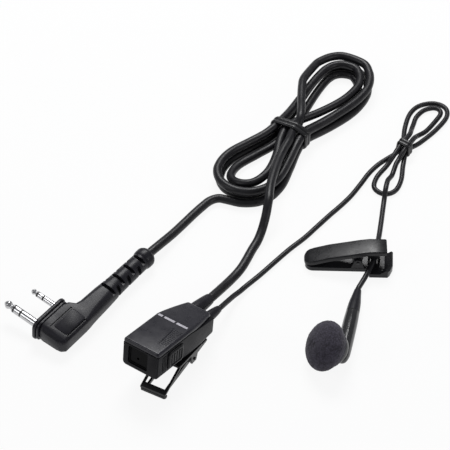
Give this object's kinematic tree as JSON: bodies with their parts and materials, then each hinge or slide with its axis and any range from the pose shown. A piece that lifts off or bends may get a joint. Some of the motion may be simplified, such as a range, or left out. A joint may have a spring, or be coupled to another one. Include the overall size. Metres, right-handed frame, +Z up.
{
  "type": "lavalier microphone",
  "caption": "Tie-clip microphone with push-to-talk button, right-angle jack plug, folded cords, cord clip and foam-covered earphone.",
  "frame": {"origin": "floor point under the centre of the box round the microphone unit and the earphone", "axes": "+X to the picture's right, +Y away from the camera, +Z up from the floor it lies on"},
  "size_m": [0.1927, 0.2043, 0.024],
  "materials": {
    "case": "fine moulded texture, satin",
    "button": "satin with moulded ribs",
    "coated_steel": "black, semi-gloss",
    "spring_steel": "drawn wire",
    "contact": "bright nickel plate",
    "pin_core": "insulator, gloss",
    "moulded": "soft moulded, satin",
    "jacket": "smooth extruded jacket",
    "foam": "open-cell foam",
    "board": "solder mask",
    "capsule_can": "drawn can",
    "grille": "black, perforated"
  },
  "bodies": {
    "microphone_set": {"top_cover": "case", "lower_shell": "case", "front_grille": "case", "cord_clip_base": "case", "earphone_shell": "case", "clip_rivet": "coated_steel", "case_screw_front": "coated_steel", "case_screw_rear": "coated_steel", "cord_clip_pin": "coated_steel", "cord_clip_spring": "spring_steel", "large_pin_tip": "contact", "large_pin_ring": "contact", "large_pin_sleeve": "contact", "small_pin_tip": "contact", "small_pin_ring": "contact", "small_pin_sleeve": "contact", "large_pin_core": "pin_core", "small_pin_core": "pin_core", "plug_head": "moulded", "plug_flange": "moulded", "plug_relief": "moulded", "main_cord_boot": "moulded", "thin_cord_boot": "moulded", "earphone_boot": "moulded", "capsule_boot": "moulded", "main_cord_plug_side": "jacket", "main_hank": "jacket", "main_cord_mic_side": "jacket", "main_hank_tie": "jacket", "thin_cord_mic_side": "jacket", "thin_hank": "jacket", "thin_cord_ear_side": "jacket", "thin_hank_tie": "jacket", "foam_pad": "foam", "circuit_board": "board", "ptt_switch": "board", "mic_capsule": "capsule_can", "earphone_driver": "capsule_can", "earphone_grille": "grille"},
    "clip": {"clip_base": "coated_steel", "clip_pin": "coated_steel", "clip_spring": "spring_steel"},
    "clip_jaw": {"clip_jaw": "coated_steel"},
    "ptt_button": {"ptt_button": "button"},
    "cord_clip_lever": {"cord_clip_lever": "case"}
  },
  "joints": [
    {"name": "clip_swivel", "type": "hinge", "parent": "microphone_set", "child": "clip", "pos_m": [-0.02492, -0.00514, 0.00676], "axis": [0.0757, 0.1914, 0.9786], "range_deg": [-90, 90]},
    {"name": "clip_open", "type": "hinge", "parent": "clip", "child": "clip_jaw", "pos_m": [-0.02522, -0.00588, 0.00295], "axis": [0.8757, -0.4822, 0.0266], "range_deg": [0, 8], "stiffness_Nm_per_rad": 0.15, "springref_deg": -14.32},
    {"name": "ptt_press", "type": "slide", "parent": "microphone_set", "child": "ptt_button", "axis": [-0.811, 0.5828, -0.0513], "range_m": [0, 0.0006], "stiffness_N_per_m": 500, "springref_m": -0.0005},
    {"name": "cord_clip_open", "type": "hinge", "parent": "microphone_set", "child": "cord_clip_lever", "pos_m": [0.04709, 0.0456, 0.0049], "axis": [0.0314, 0.9995, 0], "range_deg": [0, 14], "stiffness_Nm_per_rad": 0.1, "springref_deg": -14.32}
  ]
}
